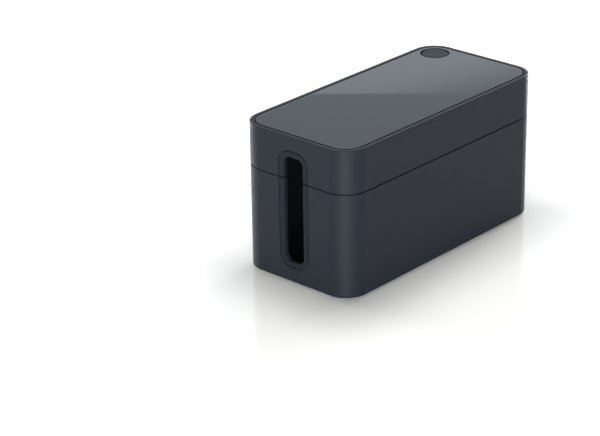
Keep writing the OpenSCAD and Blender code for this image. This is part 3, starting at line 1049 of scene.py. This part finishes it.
class CABLEBOX_OT_slot_trims(bpy.types.Operator):
    """Build the soft trims of both cable slots, divided at the parting line"""

    bl_idname = "cable_box.slot_trims"
    bl_label = "Slot Trims"

    def execute(self, context):
        scene = context.scene
        shape = scene.cable_box_shape
        material = rubber_material(scene, "Soft Trim", scene.cable_box_finish.trim_colour)
        parts = (("lower", TRIM_LOWER_HIGH.z - shape.gap_relief, -1, "base"),
                 ("upper", TRIM_UPPER_LOW.z + shape.gap_relief, 1, "lid"))
        for end, side in (("left", -1), ("right", 1)):
            for part, height, kept, body in parts:
                piece = sweep(f"{end}_slot_trim_{part}", trim_section(shape), TRIM_OUTLINE,
                              shape.trim_radius, shape, material, closed=True)
                piece.data.transform(end_face(side))
                keep_part(piece, height, kept)
                finish_piece(piece, body, "trim", f"{end}_trim_{part}")
        return {"FINISHED"}


class CABLEBOX_OT_top_mat(bpy.types.Operator):
    """Build the inlaid top mat with the round hole for the stopper"""

    bl_idname = "cable_box.top_mat"
    bl_label = "Top Mat"

    def execute(self, context):
        shape = context.scene.cable_box_shape
        less = 2 * shape.mat_shrink
        outline = (MAT_HIGH.x - MAT_LOW.x - less, MAT_HIGH.y - MAT_LOW.y - less)
        inset = (BOX_OUTLINE[0] - outline[0]) / 2
        piece = sweep("mat_inlay", mat_section(shape), outline, shape.corner_radius - inset, shape,
                      mat_material(context.scene))
        mouth = shape.port_recess / 2 + shape.mat_edge
        combine(piece, at_port("mat_cut", mat_cut_section, mouth, shape), "DIFFERENCE")
        finish_piece(piece, "lid", "mat", "top_mat")
        return {"FINISHED"}


class CABLEBOX_OT_stopper(bpy.types.Operator):
    """Build the round stopper with its seating flange, hollow skirt and sealing rings"""

    bl_idname = "cable_box.stopper"
    bl_label = "Port Stopper"

    def execute(self, context):
        scene = context.scene
        material = rubber_material(scene, "Soft Stopper", scene.cable_box_finish.stopper_colour)
        radius = (STOPPER_HIGH.x - STOPPER_LOW.x) / 2
        piece = at_port("stopper", stopper_section, radius, scene.cable_box_shape, material)
        finish_piece(piece, "stopper", "stopper", "port_stopper")
        return {"FINISHED"}


class CABLEBOX_OT_feet(bpy.types.Operator):
    """Build the four soft feet"""

    bl_idname = "cable_box.feet"
    bl_label = "Feet"

    def execute(self, context):
        scene = context.scene
        material = rubber_material(scene, "Soft Foot", scene.cable_box_finish.foot_colour)
        piece = at_feet("feet", foot_section, FOOT_RADIUS, scene.cable_box_shape, material)
        finish_piece(piece, "base", "foot", "foot_front_left", "foot_front_right", "foot_rear_left",
                     "foot_rear_right")
        return {"FINISHED"}


class CABLEBOX_OT_adhesives(bpy.types.Operator):
    """Paint the adhesive sheets, whose CAD solids already have the right shape"""

    bl_idname = "cable_box.adhesives"
    bl_label = "Adhesive Sheets"

    def execute(self, context):
        material = adhesive_material(context.scene)
        for name in ("mat_adhesive", "foot_adhesives"):
            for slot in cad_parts[name].material_slots:
                slot.link = "OBJECT"
                slot.material = material
        return {"FINISHED"}


class CABLEBOX_OT_stage(bpy.types.Operator):
    """Set up the floor, the room, the soft lights and the camera"""

    bl_idname = "cable_box.stage"
    bl_label = "Stage"

    def execute(self, context):
        studio = context.scene.cable_box_studio
        half = studio.floor_size / 2
        sheet = bpy.data.meshes.new("studio_floor")
        sheet.from_pydata([(-half, -half, 0), (half, -half, 0), (half, half, 0), (-half, half, 0)], [],
                          [(0, 1, 2, 3)])
        sheet.materials.append(floor_material(studio))
        floor = link(bpy.data.objects.new("studio_floor", sheet))
        floor.location.z = -FLOOR_DROP

        room_light(studio)
        softbox("top_light", side=1.2, place=(0.25, 0.2, 1.4), power=studio.top_power)
        softbox("right_light", side=1.2, power=studio.right_power,
                place=from_middle(azimuth=97, elevation=44, distance=2.0))
        low_lights = [
            softbox(name, side, from_middle(azimuth, elevation, distance=2.0), power)
            for name, side, azimuth, elevation, power in (
                ("key_light", 0.9, -54, 12, studio.key_power),
                ("rear_edge_light", 0.5, 187, 7, studio.rear_edge_power),
                ("right_edge_light", 0.5, 94, 7, studio.right_edge_power))]
        keep_off(low_lights, bpy.data.objects["mat_inlay"])

        camera = bpy.data.cameras.new("photo_camera")
        camera.lens = studio.camera_lens
        camera.sensor_width = 36.0
        camera.clip_start, camera.clip_end = 0.01, 50.0
        view = link(bpy.data.objects.new("photo_camera", camera))
        view.location = studio.camera_place
        away = Vector(from_middle(math.degrees(studio.camera_azimuth),
                                  math.degrees(studio.camera_elevation), 1.0))
        view.rotation_mode = "QUATERNION"
        roll = Quaternion((0, 0, 1), studio.camera_roll)
        view.rotation_quaternion = (-away).to_track_quat("-Z", "Y") @ roll
        context.scene.camera = view
        context.scene.view_settings.view_transform = "Standard"
        return {"FINISHED"}


# ---- Panel and registration ----

OPERATORS = (
    CABLEBOX_OT_housing, CABLEBOX_OT_lid, CABLEBOX_OT_slot_trims, CABLEBOX_OT_top_mat,
    CABLEBOX_OT_stopper, CABLEBOX_OT_feet, CABLEBOX_OT_adhesives, CABLEBOX_OT_stage,
)
GROUPS = {
    "cable_box_shape": CableBoxShape,
    "cable_box_finish": CableBoxFinish,
    "cable_box_studio": CableBoxStudio,
}


class CABLEBOX_PT_panel(bpy.types.Panel):
    """Lists the pieces of the cable box and the values that they are built from"""

    bl_idname = "CABLEBOX_PT_panel"
    bl_label = "Cable Box"
    bl_space_type = "VIEW_3D"
    bl_region_type = "UI"
    bl_category = "Cable Box"

    def draw(self, context):
        for operator in OPERATORS:
            self.layout.operator(operator.bl_idname)
        for name, group in GROUPS.items():
            values = getattr(context.scene, name)
            box = self.layout.box()
            box.label(text=group.__name__.replace("CableBox", ""))
            for field in group.__annotations__:
                box.prop(values, field)


CLASSES = (*GROUPS.values(), *OPERATORS, CABLEBOX_PT_panel)


def register():
    for cls in CLASSES:
        bpy.utils.register_class(cls)
    for name, group in GROUPS.items():
        setattr(bpy.types.Scene, name, PointerProperty(type=group))


def unregister():
    for name in GROUPS:
        delattr(bpy.types.Scene, name)
    for cls in reversed(CLASSES):
        bpy.utils.unregister_class(cls)


def main():
    register()
    steps = bpy.ops.cable_box
    for step in (steps.housing, steps.lid, steps.slot_trims, steps.top_mat, steps.stopper, steps.feet,
                 steps.adhesives, steps.stage):
        step()


if __name__ == "__main__":
    main()
